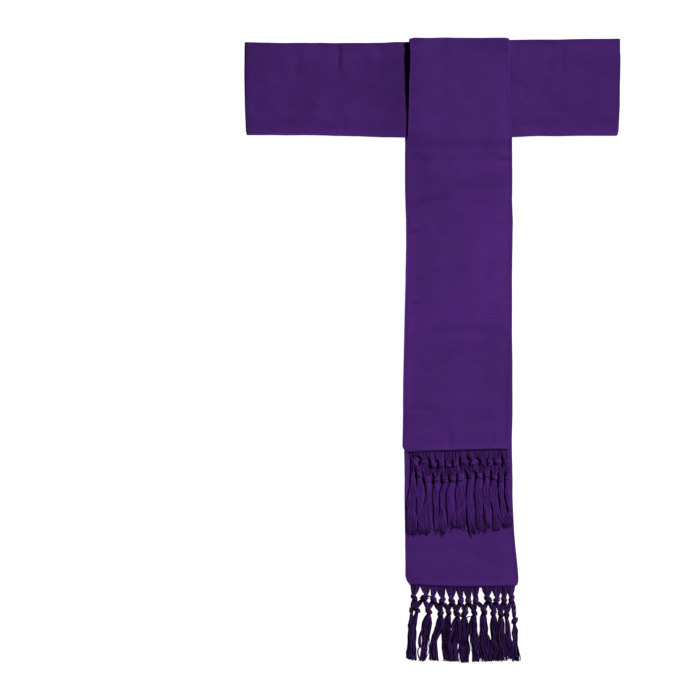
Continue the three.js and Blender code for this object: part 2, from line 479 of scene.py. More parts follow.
def marks(rows, x, y):
    """Sum of soft ridges and troughs, or of light and dark marks: each is `rise` on its line."""
    total = np.zeros_like(x)
    for crease in (Crease(*row) for row in rows):
        turn = math.radians(crease.angle)
        along = (x - crease.x) * math.cos(turn) + (y - crease.y) * math.sin(turn)
        across = (y - crease.y) * math.cos(turn) - (x - crease.x) * math.sin(turn)
        half = crease.length / 2
        across = across - crease.bow * (1 - (along / half) ** 2)
        fade = 1 - ease((np.abs(along) / half - 0.45) / 0.75)
        total += crease.rise * fade * np.exp(-np.abs(across / crease.width) ** 1.6)
    return total


BAND_CREASES = [
    # x, y, length, angle, rise, width, bow
    (-98.5, 313, 40, 88, -0.4, 2.2),
    (-144, 304, 34, 86, -0.35, 4.5),
    (-55.5, 321, 16, 88, -0.35, 3.5),
    (-66, 315, 34, 84, 0.25, 7),
    (-139, 250, 66, 3, -0.14, 5, 10),
    (-95, 239, 17, 82, -0.3, 2.2),
    (-190, 280, 60, 92, -0.25, 7),
    (-118, 276, 60, 64, 0.22, 11),
    (89.6, 325, 20, 88, -0.35, 2.4),
    (97.5, 278, 24, 92, -0.14, 3.2),
    (139.2, 309, 26, 87, -0.24, 4),
    (128.5, 326, 7, 60, -0.3, 1.8),
    (141, 256, 24, -46, -0.18, 5),
    (174, 245, 36, -10, -0.16, 4),
    (105, 241, 24, 14, -0.26, 2.4),
]
# Painted light and shade on the waistband, whose rise is a change of lightness: darker along its creases, at
# its end folds and in broad patches, lighter along its lower edge and in a few broad patches.
BAND_LIGHT_AND_SHADE = [
    # x, y, length, angle, rise, width, bow
    (-36, 305, 90, 90, -0.09, 18),
    (-33, 246, 60, 90, -0.08, 8),
    (-60, 250, 60, 90, 0.05, 14),
    (-95, 250, 110, 0, 0.03, 18),
    (-110, 230.5, 230, 0, 0.24, 5),
    (-201.5, 280, 160, 90, -0.26, 5.5),
    (-199.5, 310, 60, 90, -0.1, 5),
    (-144, 304, 40, 86, -0.03, 5),
    (-98.4, 312, 36, 88, -0.38, 1.9),
    (-134, 257, 28, 40, -0.09, 6),
    (-150, 245, 50, 4, -0.05, 4),
    (-112, 240, 26, -28, -0.08, 2.6),
    (-96, 268, 30, 80, -0.03, 4),
    (106, 305, 70, 90, -0.05, 16),
    (141, 312, 30, 88, -0.04, 3),
    (135, 262, 150, 0, 0.05, 18),
    (150, 262, 54, -24, -0.05, 8),
    (112, 243, 30, 12, -0.05, 2.4),
    (150, 231.5, 150, 0, 0.26, 6.5),
    (201, 282, 160, 90, -0.26, 3),
]
FRONT_CREASES = [
    # x, y, length, angle, rise, width, bow
    (-13, 202.4, 12, 2, -0.3, 1.8),
    (77, 202.4, 13, 4, -0.44, 1.6),
    (-13, 189.4, 18, -4, -0.16, 2.2),
    (2, 162, 38, 22, -0.3, 5),
    (-19.7, 126.3, 12, 3, -0.42, 1.6),
    (-15.4, 74.9, 12, -3, -0.34, 1.7),
    (-19, 49.2, 13, 2, -0.42, 1.8),
    (27, 18.2, 92, 1, -0.4, 6.5),
    (8, -16, 76, 27, -0.42, 8),
    (14, -4, 60, 27, 0.25, 8),
    (76, -58, 28, 52, -0.38, 5.5),
    (-11, -64.2, 32, -3, -0.42, 3.4),
    (18.3, -97, 20, 92, -0.3, 2.2),
    (64.3, -94, 14, 84, -0.28, 2.2),
    (62, 96, 60, 74, -0.25, 9),
    (20, 280, 70, 8, -0.16, 12),
]
# Painted light and shade on the tails, whose rise is a change of lightness: darker along creases, at the turn
# and between the front fringe's knots, lighter along some edges and in broad patches.
TAIL_LIGHT_AND_SHADE = [
    # x, y, length, angle, rise, width, bow
    (28, 330, 200, 0, -0.15, 34),
    (28, 334, 150, 0, -0.08, 5),
    (0, 290, 80, 90, -0.1, 17),
    (62, 266, 60, 90, -0.04, 14),
    (82, 312, 70, 90, 0.13, 5.5),
    (-14, 222, 26, 0, 0.05, 8),
    (-15, 190, 60, 90, 0.06, 6),
    (-27.5, 187, 54, 90, -0.1, 2.5),
    (-26, 32, 230, 90, 0.21, 5.5),
    (26, 223, 80, 0, -0.06, 3),
    (24, 196, 90, 0, -0.05, 10),
    (-13.5, 202.5, 10, 3, -0.04, 1.6),
    (78, 202.5, 14, 4, -0.1, 2.4),
    (-1, 160.5, 46, 17, -0.25, 4.6),
    (12, 139, 36, 80, -0.13, 6.5),
    (26, 130, 34, 86, -0.06, 12),
    (76, 188, 26, 70, -0.04, 6),
    (-19.5, 126.3, 12, 3, -0.32, 1.5),
    (-14.5, 74.9, 11, -3, -0.24, 1.6),
    (-19, 49.2, 12, 2, -0.28, 1.5),
    (-16, 22, 110, 90, 0.06, 10),
    (74, -2, 110, 90, -0.16, 17),
    (28, -84, 140, 0, 0.09, 11),
    (-12, -62, 34, 90, -0.03, 8),
    (28.5, -125, 104, 0, -0.6, 9),
]
UNDER_CREASES = [
    # x, y, length, angle, rise, width, bow
    (-23, -194.7, 14, 2, -0.25, 2),
    (8, -214, 60, 4, -0.22, 6),
    (60, -226, 40, -18, -0.24, 6),
]


def closed_faces(rows, columns):
    """The faces of a strip's two sides, which share the points of their rims."""
    index = np.arange(rows * columns).reshape(rows, columns)
    lower = index + rows * columns
    rim = np.zeros((rows, columns), bool)
    rim[[0, -1], :] = rim[:, [0, -1]] = True
    lower[rim] = index[rim]
    upper_corners = [index[:-1, :-1], index[:-1, 1:], index[1:, 1:], index[1:, :-1]]
    lower_corners = [lower[:-1, :-1], lower[1:, :-1], lower[1:, 1:], lower[:-1, 1:]]
    return [np.stack(corners, -1).reshape(-1, 4) for corners in (upper_corners, lower_corners)]


def cloth_strip(name, line, width_at, place, relief, nap, open_ends=(False, False)):
    """A closed wall of cloth on a middle line seen edge on. Walking along it, column 0 is its left edge.

    width_at(along) is the strip's width and place(along, height, inset from the left edge) a point.
    relief(side, x, y, edge distance, end distance) is what a face stands proud, with side 1 on the left
    of the line as it runs, and the last function how much lighter than even the cloth looks at (x, y),
    by slow random tone and painted light and shade."""
    line = np.array(line)
    along, height = line[:, 0], line[:, 1]
    run, rise = np.gradient(along), np.gradient(height)
    length = np.hypot(run, rise)
    normal_along, normal_height = -rise / length, run / length
    travelled = running_length(line)
    end_distance = np.full(len(line), FAR)
    for is_open, distance in zip(open_ends, (travelled, travelled[-1] - travelled)):
        if is_open:
            end_distance = np.minimum(end_distance, distance)

    width = width_at(along)
    inner = np.arange(0, 1, FINE / (width.mean() - 2 * EDGE_DEPTH))
    inner = np.append(inner[:-1], 1)
    steps = np.array(EDGE_STEPS)
    from_left = np.concatenate([
        np.broadcast_to(steps, (len(line), len(steps))),
        EDGE_DEPTH + inner * (width[:, None] - 2 * EDGE_DEPTH),
        width[:, None] - steps[::-1],
    ], axis=1)
    edge_distance = np.minimum(from_left, width[:, None] - from_left)
    at_edge, at_end = rounded(edge_distance), rounded(end_distance)[:, None]
    wall = WALL / 2 * at_edge * at_end

    flat = place(along[:, None], height[:, None], from_left)
    grids = []
    for side in (1, -1):
        proud = relief(side, flat[..., 0], flat[..., 1], edge_distance, end_distance[:, None])
        thick = wall + proud * at_edge * at_end
        moved_along = along[:, None] + side * normal_along[:, None] * thick
        moved_height = height[:, None] + side * normal_height[:, None] * thick
        grids.append(place(moved_along, moved_height, from_left))

    faces = closed_faces(*from_left.shape)
    corners = [face.ravel() % from_left.size for face in faces]
    lay = stacked(running_length(grids[0]), travelled[:, None]).reshape(-1, 2) * MM
    shares = stacked(from_left / width[:, None], travelled[:, None] / travelled[-1]).reshape(-1, 2)
    # The map that is used to bake a strip has its two faces side by side.
    baked = [shares[corner] * (0.48, 0.98) + (0.01 + 0.5 * half, 0.01) for half, corner in enumerate(corners)]

    # Lighter on each edge's crest as rubbed wear, and darker in the stitched groove as painted shade.
    rubbed_rim_and_groove_shade = hill(edge_distance, 1.0, 0.7) - hill(edge_distance, STITCH_INSET, 0.45)
    points = np.concatenate([grid.reshape(-1, 3) for grid in grids])
    used = np.unique(np.concatenate([face.ravel() for face in faces]))
    place_of = np.zeros(len(points), int)
    place_of[used] = np.arange(len(used))
    # The last value painted on the cloth is slow random tone with painted light and shade.
    made = add_mesh(
        name,
        points[used],
        [place_of[face] for face in faces],
        CLOTH,
        {"lay": np.concatenate([lay[corner] for corner in corners]), "OFBake": np.concatenate(baked)},
        rim=np.tile(rubbed_rim_and_groove_shade.ravel(), 2)[used],
        nap=nap(points[used, 0], points[used, 1]),
    )
    return made, grids


# --- waistband ---

BAND_TURN = BAND_END - LAYER / 2 - WALL / 2  # middle of the end folds
BAND_STEP_LEFT = (-31, -72)  # from up on the tail to down on the back stretch
BAND_STEP_RIGHT = (87, 128)
HIDDEN_LEFT = TAILS_X - 48  # the front tail covers the waistband between these
HIDDEN_RIGHT = TAILS_X + 50


def band_place(along, height, from_left):
    """A point of the waistband. Its left edge as it starts out, to the right, is its upper one."""
    high = look_up(BAND_EDGES, along, 2)
    wobble = 0.14 * ripple(11, 60, along) + 0.04 * ripple(12, 17, along)
    y = high - from_left + wobble
    left = look_up(BAND_ENDS, y, 1) / BAND_END
    right = look_up(BAND_ENDS, y, 2) / BAND_END
    x = along * np.where(along < 0, left, right)
    return stacked(x, y, height)


def band_line():
    """From the hidden seam between the tails to the right, back below, and to the seam again."""
    line = [(TAILS_X + GAP / 2, LEVEL[2])]
    run_to(
        line,
        (BAND_STEP_RIGHT[0] - 8, LEVEL[2], COARSE),
        (BAND_STEP_RIGHT[0], LEVEL[2], FINE),
        (BAND_STEP_RIGHT[1], LEVEL[1], FINE),
        (BAND_TURN, LEVEL[1], FINE),
    )
    turn_to(line, LEVEL[0], 1)
    run_to(
        line,
        (BAND_TURN - 4, LEVEL[0], FINE),
        (-BAND_TURN + 4, LEVEL[0], COARSE),
        (-BAND_TURN, LEVEL[0], FINE),
    )
    turn_to(line, LEVEL[1], -1)
    run_to(
        line,
        (BAND_STEP_LEFT[1], LEVEL[1], FINE),
        (BAND_STEP_LEFT[0], LEVEL[2], FINE),
        (HIDDEN_LEFT, LEVEL[2], FINE),
        (TAILS_X - GAP / 2, LEVEL[2], COARSE),
    )
    return line


def band_relief_on(middle_height):
    """The waistband's unevenness, for rows at these heights of its middle line."""
    upper = middle_height > (LEVEL[0] + LEVEL[1]) / 2

    def relief(side, x, y, edge, end):
        if side < 0:
            return np.zeros_like(x)
        shows = ease((HIDDEN_LEFT - x) / 6) + ease((x - HIDDEN_RIGHT) / 6)
        soft = ease((edge - 1) / 8)
        uneven = CREASE_DEPTH * marks(BAND_CREASES, x, y)
        uneven += 0.16 * ripple(21, 62, x, y) + 0.05 * ripple(22, 19, x, y)
        on_top = edge_roll(edge, x, 31) + uneven * soft
        return np.where(upper, on_top * shows, groove(edge, UNDER_GROOVE))

    return relief


# The waistband's lightness: a little darker all over than even, painted light and shade from its table, and
# slow random tone.
def band_nap(x, y):
    return -0.095 + marks(BAND_LIGHT_AND_SHADE, x, y) + 0.02 * ripple(23, 150, x, y)


def make_waistband():
    line = np.array(band_line())
    band = cloth_strip(
        "waistband", line, width_between(BAND_EDGES), band_place, band_relief_on(line[:, 1:]), band_nap
    )
    wear(band[0], "cloth", "waist_back", "waist_left", "waist_right")
    return band, line


# --- tails ---

BAND_RISE = LEVEL[3] - LEVEL[1]  # of the front tail, to pass over the waistband
TURN_RADIUS = BAND_RISE / 2  # of the middle of the wall
TURN_Y = TAIL_TOP - TURN_RADIUS - WALL / 2
# The front tail comes down from the waistband in three soft steps.
STEP_DOWN = [
    # y, share of the waistband's height that is left
    (228, 1),
    (214, 0.62),
    (211, 0.6),
    (201, 0.44),
    (164, 0.1),
    (152, 0),
]
# The height that its left edge keeps under: it is down on the longer tail as soon as it has left the
# waistband, and stands up less where it turns over the top.
WEST_FALL = [
    # y, height
    (206, LEVEL[1]),
    (217, LEVEL[1] + 1.2),
    (229, LEVEL[3] - 0.2),
    (233, LEVEL[3] + 1.4),
    (234, FAR),
    (315.5, LEVEL[3] + 5.9),
    (320, LEVEL[3] + 5.1),
    (325, LEVEL[3] + 3.9),
    (334, LEVEL[3] + 3.4),
]
WEST_REACH = 32
UNDER_SHOWS_TO = -178  # the front fringe covers the longer tail above this
UNDER_STEP = (210, 227)  # where the longer tail climbs behind the waistband


def tail_x(edges, y, from_left, seed):
    wobble = 0.14 * ripple(seed, 70, y) + 0.04 * ripple(seed + 1, 19, y)
    return look_up(edges, y, 1) + from_left + wobble


def drawn_to_hem(hem, x, y):
    """The whole length is drawn to the hem line, all the way up to the turn."""
    return y + (hem_line(hem, x) - hem.y) * np.clip((TURN_Y - y) / (TURN_Y - hem.y), 0, 1)


def lift_at(y, share):
    """How much higher than level the front tail's left edge stands, as a share of the turn's height."""
    along_fade = ease((y - LIFT_FADE_TO) / (TURN_Y - LIFT_FADE_TO))
    across_fade = ease(1 - share / LIFT_REACH)
    return LIFT_HEIGHT * along_fade * across_fade / BAND_RISE


def front_line():
    """From inside the turn over the waistband, up, over and down to the front hem."""
    line = [(TURN_Y - TURN_IN, LEVEL[1])]
    run_to(line, (TURN_Y, LEVEL[1], 1))
    turn_to(line, LEVEL[3], 1, 14)
    run_to(line, *((y, LEVEL[1] + share * BAND_RISE, FINE) for y, share in STEP_DOWN))
    run_to(line, (FRONT_HEM.y + EDGE_DEPTH, LEVEL[1], FINE))
    edge_rows(line, -1)
    return line


def under_line():
    """From the under hem, up to the turn over the waistband."""
    line = start_at_edge(UNDER_HEM.y, LEVEL[0], 1)
    run_to(
        line,
        (UNDER_HEM.y + EDGE_DEPTH, LEVEL[0], FINE),
        (UNDER_SHOWS_TO - 10, LEVEL[0], FINE),
        (-96, LEVEL[0], 3),
        (UNDER_STEP[0], LEVEL[0], COARSE),
        (UNDER_STEP[1], LEVEL[1], 3),
        (TURN_Y - TURN_IN - GAP, LEVEL[1], COARSE),
    )
    return line


def front_place(along, height, from_left):
    """A point of the front tail, whose left edge as it runs down is its right one from above."""
    width = width_between(FRONT_EDGES)(along)
    from_west = width - from_left
    x = tail_x(FRONT_EDGES, along, from_west, 41)
    climb = np.clip((height - LEVEL[1]) / BAND_RISE, 0, 1) * BAND_RISE
    z = height + climb * lift_at(along, from_west / width)
    too_high = np.maximum(z - look_up(WEST_FALL, along, 1), 0)
    z = z - too_high * (1 - ease(from_west / WEST_REACH))
    for y, rise, half in SWELLS:
        z = z + rise * hill(along, y, half)
    blunted = TOP_BLUNTING * (1 - ease(np.minimum(from_left, from_west) / 6))
    moved = (TOP_TILT * x - TOP_DROP - blunted) * ease((along - TOP_FROM) / 6)
    return stacked(x + TAILS_X, drawn_to_hem(FRONT_HEM, x, along) + moved, z)


def under_place(along, height, from_left):
    x = tail_x(UNDER_EDGES, along, from_left, 51)
    y = drawn_to_hem(UNDER_HEM, x, along)
    return stacked(x + TAILS_X, y, height)


def hem_roll(end, rise):
    """The hem is turned over where the fringe's yarns are sewn in, so that it is thicker there."""
    return rise * hill(end, 1.6, 2.4)


def front_relief(side, x, y, edge, end):
    if side > 0:
        return np.zeros_like(x)
    soft = ease((edge - 1) / 7)
    uneven = CREASE_DEPTH * marks(FRONT_CREASES, x, y)
    uneven += 0.16 * ripple(61, 66, x, y) + 0.05 * ripple(62, 20, x, y)
    west = ease((TAILS_X - x) / 20) * ease((232 - y) / 8) * (1 - ease(edge / 10))
    pressing = PRESSING * ease((TURN_Y - 1 - y) / 16)
    on_top = edge_roll(edge, y, 71, pressing) - 0.35 * west + uneven * soft
    return on_top + hem_roll(end, 0.6) * ease(edge / 4)


def under_relief(side, x, y, edge, end):
    if side < 0:
        return groove(edge, UNDER_GROOVE) * ease((UNDER_STEP[0] - 10 - y) / 10)
    shows = ease((UNDER_SHOWS_TO - y) / 8)
    soft = ease((edge - 1) / 7)
    uneven = CREASE_DEPTH * marks(UNDER_CREASES, x, y) + 0.10 * ripple(63, 40, x, y)
    on_top = edge_roll(edge, y, 81) + uneven * soft + hem_roll(end, 0.3) * ease(edge / 4)
    return on_top * shows


def tail_nap(x, y):
    """Painted light: the tails are painted lighter than the waistband, most on the right half part way down,
    as painted sheen where their grain, which runs down them, catches the light. Painted light and shade
    marks and slow random tone come on top.
    """
    half_way = hill(y, 70, 130)
    grain = 0.04 + (0.06 + 0.10 * ease((x - 10) / 50)) * half_way
    return grain + marks(TAIL_LIGHT_AND_SHADE, x, y) + 0.02 * ripple(64, 120, x, y)


def make_tails():
    tails = []
    for node, line, edges, place, relief, open_ends in (
        ("tail_front", front_line(), FRONT_EDGES, front_place, front_relief, (False, True)),
        ("tail_under", under_line(), UNDER_EDGES, under_place, under_relief, (True, False)),
    ):
        tail = cloth_strip(node + "_cloth", line, width_between(edges), place, relief, tail_nap, open_ends)
        wear(tail[0], "cloth", node)
        tails.append(tail)
    return tails


# --- strands ---


class Strands:
    """Tubes of yarn, collected for one joined mesh."""

    def __init__(self):
        self.points = []
        self.quads = []
        self.ends = []
        self.maps = {"lay": ([], []), "OFBake": ([], [])}  # places of the quads' and the ends' corners
        self.tint = []
        self.count = 0

    def add(self, paths, radius, tint, sides=5, reference=(0, 0, 1)):
        """paths holds a row of points for each strand, radius one size or a row of them along the strands,
        and tint a value for each."""
        strands, steps = paths.shape[:2]
        tangent = unit(np.gradient(paths, axis=1))
        first = unit(np.cross(np.array(reference, float), tangent))
        second = np.cross(tangent, first)
        angle = 2 * math.pi * np.arange(sides) / sides
        taper = np.ones(steps)
        taper[[0, -1]] = 0.72
        radius = radius * taper
        size = radius[:, None, None]
        ring = first[:, :, None] * np.cos(angle)[:, None] + second[:, :, None] * np.sin(angle)[:, None]
        tube = paths[:, :, None] + ring * size
        tips = paths[:, [0, -1]] + tangent[:, [0, -1]] * [[[-0.4 * radius[0]], [0.4 * radius[-1]]]]

        rings = np.arange(strands * steps * sides).reshape(strands, steps, sides) + self.count
        onward = np.roll(rings, -1, axis=2)
        quads = np.stack([rings[:, :-1], onward[:, :-1], onward[:, 1:], rings[:, 1:]], -1)
        tip = np.arange(strands * 2).reshape(strands, 2, 1) + self.count + rings.size
        tip = np.broadcast_to(tip, (strands, 2, sides))
        start = np.stack([tip[:, 0], onward[:, 0], rings[:, 0]], -1)
        finish = np.stack([tip[:, 1], rings[:, -1], onward[:, -1]], -1)

        length = running_length(paths)
        share = length / length[:, -1:]
        tint = np.broadcast_to(tint, strands)
        self._map(length * MM, share, tint, sides)

        self.points += [tube.reshape(-1, 3), tips.reshape(-1, 3)]
        self.quads.append(quads.reshape(-1, 4))
        self.ends += [start.reshape(-1, 3), finish.reshape(-1, 3)]
        self.tint += [np.repeat(tint, steps * sides), np.repeat(tint, 2)]
        self.count += rings.size + strands * 2

    def _map(self, length, share, tint, sides):
        """Places of the corners: round and along for the twist, and by tint and length for a bake."""
        round_by = np.array([0, 1, 1, 0]) / sides + np.arange(sides)[:, None] / sides
        by_tint = 0.02 + 0.86 * tint[:, None, None, None] + 0.08 * round_by
        for name, u, run in (("lay", round_by, length), ("OFBake", by_tint, 0.02 + 0.96 * share)):
            v = np.stack([run[:, :-1], run[:, :-1], run[:, 1:], run[:, 1:]], -1)[:, :, None]
            corners = stacked(u, v)
            quads, ends = self.maps[name]
            quads.append(corners.reshape(-1, 2))
            end_u = np.repeat(corners[:, 0, :, :1, 0], 3, axis=2)
            ends += [stacked(end_u, at).reshape(-1, 2) for at in (run[0, 0], run[:, -1].mean())]

    def build(self, name, material):
        faces = [np.concatenate(self.quads), np.concatenate(self.ends)]
        maps = {map_name: np.concatenate(quads + ends) for map_name, (quads, ends) in self.maps.items()}
        points = np.concatenate(self.points)
        return add_mesh(name, points, faces, material, maps, tint=np.concatenate(self.tint))


# --- fringes ---

YARN_SIZE = 0.30  # radius of a yarn
CORE_YARNS = 12  # round the core of a knot
LEG_YARNS = 14
WRAP_YARNS = 4
WRAP_HEIGHT = 2.2
FAN_LAYERS = [
    # side, size, pitch
    (-1, 0.50, 0.70),
    (1, YARN_SIZE, 0.62),
]
NEAR_DROP = 40  # drops from the hem at which the tassels' tables give their shape, before the foot
MID_DROP = 60
# Where yarns enter and leave a knot, and how far it leans there, as shares of its height.
FAN_AT = 0.42
LEG_AT = 0.34
TASSEL_AT = 0.36
LEAN_AT = 0.4
# The cord under the hem is near black: it is the hem's painted shadow on the yarns.
SHADOW_CORD_SIZE = 0.70  # radius of the cord under the hem
LOCK_WIDTH = 2.4  # of the locks that a tassel's yarns hang in
FAN_LOCK_WIDTH = 2.2
THIN_FROM = 0.7  # shares of a tassel's fall at which it starts to thin, and its yarns' ends to splay
SPLAY_FROM = 0.88

Group = namedtuple("Group", "left right x drop wide tall lean")  # yarns from the hem, and their knot
Tassel = namedtuple(
    "Tassel", "x drop wide tall lean near_x near_wide mid_x mid_wide foot_x foot_wide foot_drop"
)
# The layers of a tassel, from the floor up: size and spacing of the yarns, how unevenly they are spaced,
# how far they drift across, how much they sway, how far they huddle in locks, their shade, and the side
# of the knot that they come from: -1 its underside, 1 its top. Their shade is painted shade: the lower
# layers are darker, as if in the shadow of those above.
Layer = namedtuple("Layer", "size pitch uneven drift sway huddle shade side")
LAYERS = [
    Layer(0.52, 0.70, 0.008, 0.00, 0.35, 0.00, -0.30, -1),
    Layer(0.36, 0.66, 0.025, 0.06, 0.55, 0.30, -0.10, 0.5),
    Layer(0.32, 0.80, 0.025, 0.13, 0.95, 0.70, 0.10, 1),
]

UNDER_GROUPS = [
    # left, right, x, drop, wide, tall, lean
    (-51.8, -41.4, -47.6, 13.6, 6, 6, 8),
    (-41.8, -29.8, -36.2, 12.4, 7, 6.8, -34),
    (-30.5, -22.6, -27.1, 13.8, 6.2, 6.2, 6),
    (-24.8, -14.1, -17.6, 15, 6.2, 5.8, -8),
    (-14.4, -2, -7.4, 15.2, 6.2, 6, 10),
    (-3.2, 4.8, 2.2, 15.2, 5.8, 7, -4),
    (4, 14.3, 10.4, 15, 6.2, 6.2, -10),
    (13.2, 22.4, 18.1, 13.6, 6.2, 6, 12),
    (24, 36.9, 31.2, 12.8, 7.2, 6, 10),
    (34.6, 46.3, 40.4, 14.6, 6.4, 6.8, -12),
    (43.8, 52.8, 48.4, 14.6, 6, 6.2, -10),
    (50.8, 60.4, 56.4, 13.4, 6.4, 6, 14),
]
UNDER_TASSELS = [
    # x, drop, wide, tall, lean, x and width near, in the middle and at the foot, foot's drop
    (-50.5, 27.4, 4.2, 5, 2, -50.6, 6, -51.8, 6.2, -52.6, 7.4, 80),
    (-44.9, 26.4, 6.4, 6, 10, -47.2, 6.6, -49, 6.4, -48.2, 8.4, 81),
    (-32, 27.2, 6.4, 6.4, 6, -34, 10.8, -35.5, 9.2, -39.9, 8.4, 81),
    (-19.4, 28.7, 6.6, 7, 12, -20.4, 9.8, -26, 9.4, -26.5, 10.6, 80),
    (-10.9, 27.1, 5.4, 6, 6, -12.4, 9.8, -14.4, 9.8, -12, 9.6, 80),
    (-1.8, 28.9, 6.6, 7, 12, -2.6, 10.8, -5, 12.2, -4.4, 10.4, 80),
    (6.4, 28.4, 6.6, 6.2, -8, 6, 9.2, 6.2, 12.8, 6.3, 10.2, 81),
    (16.6, 27.3, 5.8, 6, 4, 15.6, 10.2, 17.6, 10.8, 18.6, 9.6, 80),
    (26.9, 25.6, 6.8, 6.4, -8, 26.4, 10.2, 27.8, 12.2, 28.9, 10.6, 80),
    (37.2, 27.5, 6.4, 6.4, 8, 37.8, 9.2, 38.8, 9.6, 38.4, 10.2, 80),
    (45, 29.5, 6, 6, -4, 45.2, 8.4, 47, 9.4, 47.2, 9.6, 80),
    (51.2, 30.5, 5.4, 6, -8, 52.2, 5.2, 54.4, 8.4, 55.6, 6.6, 78),
    (59.8, 37.5, 5.8, 6.4, -8, 60.2, 5.6, 60.4, 6.2, 61.2, 9.2, 81),
]
FRONT_GROUPS = [
    # left, right, x, drop, wide, tall, lean
    (-52.1, -44, -48.4, 10.5, 4.4, 4.8, 4),
    (-45, -32, -37, 9.8, 7, 5.6, -14),
    (-33.6, -24, -27, 15, 6.4, 6, -8),
    (-25.6, -15.6, -18.5, 15, 6.4, 6, -8),
    (-17.2, -7.8, -10.9, 15, 6.4, 6, -6),
    (-9.4, 0.6, -3.3, 14.1, 6.4, 6, 6),
    (-0.8, 9, 5.1, 11.6, 6.6, 5.8, -12),
    (7.8, 19.3, 15.8, 13.2, 6.6, 6, -10),
    (17.9, 29.9, 26.5, 14.1, 6.4, 6, -8),
    (28.8, 37.1, 33.7, 14.1, 6, 5.8, 4),
    (35.8, 45.9, 40.8, 13.2, 6.4, 6, 8),
    (44.6, 52.8, 50.4, 14.1, 6.2, 6, -12),
]
FRONT_TASSELS = [
    # x, drop, wide, tall, lean, x and width near, in the middle and at the foot, foot's drop
    (-49.2, 24.3, 4.2, 4.6, 4, -49.4, 6.4, -49.9, 9.4, -49.8, 11.6, 86),
    (-42.2, 24.3, 6.4, 5.6, -6, -41.2, 8.2, -41.4, 6.8, -38.2, 8.6, 87),
    (-34.1, 30, 6.2, 5.8, 6, -32.2, 6.4, -32.8, 9.8, -31.2, 7.2, 85),
    (-23.8, 30, 6.2, 6, -6, -24.3, 7, -24.6, 5.2, -23.2, 6.2, 85),
    (-14.5, 31, 6.4, 5.8, 8, -16.2, 6.4, -17.8, 6.8, -16.7, 5.6, 87),
    (-6.6, 30.4, 6, 6, 4, -8.3, 7, -9.1, 8.2, -8.2, 9.4, 81),
    (2, 29.4, 6.8, 6.2, -6, 1.9, 10.2, 1.8, 10.4, 2.4, 11.2, 81),
    (13, 27.2, 6.4, 6, 6, 12.2, 7.8, 12.6, 9, 14.4, 8.2, 87),
    (22.3, 27.2, 6.4, 6, -6, 21.6, 8.4, 22.4, 8.2, 23.8, 8, 85),
    (30.1, 26.2, 5.8, 5.8, 6, 29.8, 5.6, 30.6, 6.4, 30.4, 4.8, 83),
    (38.2, 29.4, 6.2, 6, -4, 36.9, 7.6, 39.8, 9.2, 38.2, 9.4, 85),
    (45.4, 31.5, 5.8, 5.6, -8, 45, 6.4, 47.6, 5.4, 49.2, 9.2, 81),
    (52.4, 29, 5.6, 6, -10, 51.4, 4.2, 53, 4.2, 56.4, 3.2, 80),
]
# Loose or curled locks: how many yarns, their radius and shade, and their places across and drops.
Stray = namedtuple("Stray", "yarns radius shade route")
UNDER_STRAYS = [
    # yarns, radius, shade, route
    (3, 0.5, 0.3, [(-37.8, 46), (-41.2, 54), (-42.2, 61), (-41, 67)]),
    (2, 0.45, 0.3, [(-40.2, 66), (-43.6, 71.5), (-42.2, 78), (-41.2, 81)]),
    (3, 0.42, 0.15, [(8.6, 33.4), (10.8, 32.2), (13.2, 31.8), (16.2, 30.6)]),
    (3, 0.45, 0.2, [(31.6, 52), (33.8, 60), (34.9, 67), (34.2, 72)]),
]
# The front's dark curled tips are painted shade: they stand up off the cloth and would shade it.
FRONT_STRAYS = [
    # yarns, radius, shade, route
    (1, 0.4, -0.5, [(-34.4, 83), (-33.6, 86), (-33, 88), (-33.6, 90)]),
    (2, 0.4, -0.6, [(-19.8, 79), (-19.2, 84), (-16.8, 88), (-15.2, 86)]),
    (1, 0.5, -0.5, [(-7.6, 74), (-7.2, 79), (-5, 82), (-1.6, 80.5)]),
    (1, 0.5, -0.5, [(8.6, 73), (9.2, 77), (9.8, 79.5), (10.8, 81)]),
    (1, 0.5, -0.3, [(12, 72), (14, 80), (16.4, 86), (18.4, 90)]),
    (2, 0.4, -0.5, [(20.3, 77), (20.9, 82), (23.2, 85.4), (26.2, 85)]),
    (1, 0.5, -0.5, [(31.8, 71), (30.4, 78), (31.2, 82.6), (33.6, 81.6)]),
    (1, 0.5, -0.5, [(43.8, 77), (42.8, 81), (43.6, 84.4), (45.2, 82)]),
]

# How a fringe looks: how late its fans narrow, half widths of its bundles at a knot and between knots,
# flatness, girth of the knots, shades at the hem and at the tassels, contrast between the yarns above and
# in the tassels, how far those huddle in locks, how much they thin towards the feet, how uneven these are,
# and the size of the first fan's yarns.
Look = namedtuple(
    "Look", "pinch neck leg flat girth hem_shade foot_shade contrast streaks huddle thinning ragged first"
)
# A darker hem_shade or foot_shade is painted shade: the under fringe darkens down to its tassels, where its
# loose yarns lie in each other's shadow.
FRONT_LOOK = Look(2.7, 2.3, 2.8, 0.50, 0.98, -0.07, 0.03, 0.30, 0.10, 0.5, 0.55, 2.0, 0.65)
UNDER_LOOK = Look(1.8, 2.0, 2.6, 1.00, 1.14, -0.10, -0.38, 0.24, 0.22, 1.15, 0.15, 0.4, 1.00)
SHADE_DROP = 32  # drop at which the tassels' shade is reached


def leaning(spot, share):
    """How far a knot's lean carries its line sideways, at a share of its height from its middle."""
    return math.sin(math.radians(spot.lean)) * spot.tall * share


